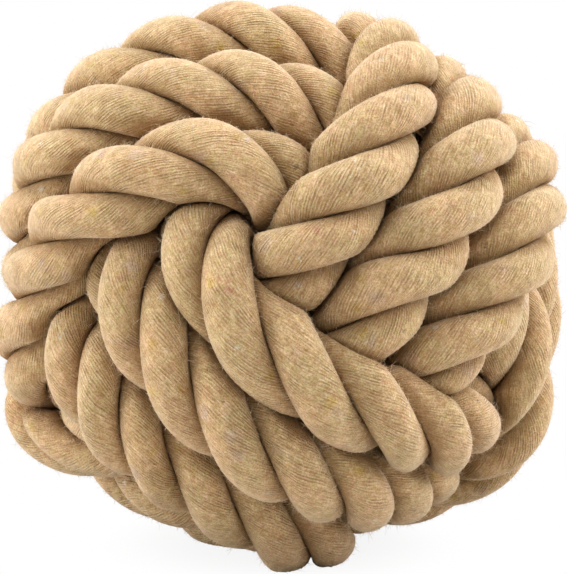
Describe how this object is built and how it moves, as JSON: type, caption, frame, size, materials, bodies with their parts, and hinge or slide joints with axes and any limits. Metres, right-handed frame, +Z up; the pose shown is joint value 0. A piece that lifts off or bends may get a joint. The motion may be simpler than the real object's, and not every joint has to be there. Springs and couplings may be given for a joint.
{
  "type": "rope ball dog toy",
  "caption": "Round dog toy tied as a monkey's fist knot in thick soft three-strand cotton rope round a wadded core, with its rope ends tucked inside.",
  "frame": {"origin": "middle of the bottom of the ball's box, on the surface that it rests on", "axes": "+Z up, -Y towards the side that shows a three-way crossing of the turns, +X to the right of it"},
  "size_m": [0.1544, 0.1604, 0.1495],
  "materials": {
    "cotton_rope": "undyed soft-laid cotton yarn, matt and slightly fuzzy",
    "cotton_wadding": "pressed cotton wadding, matt",
    "binding_twine": "waxed cotton twine"
  },
  "bodies": {
    "root": {"rope": "cotton_rope", "core_ball": "cotton_wadding", "start_binding": "binding_twine", "end_binding": "binding_twine"}
  },
  "joints": []
}
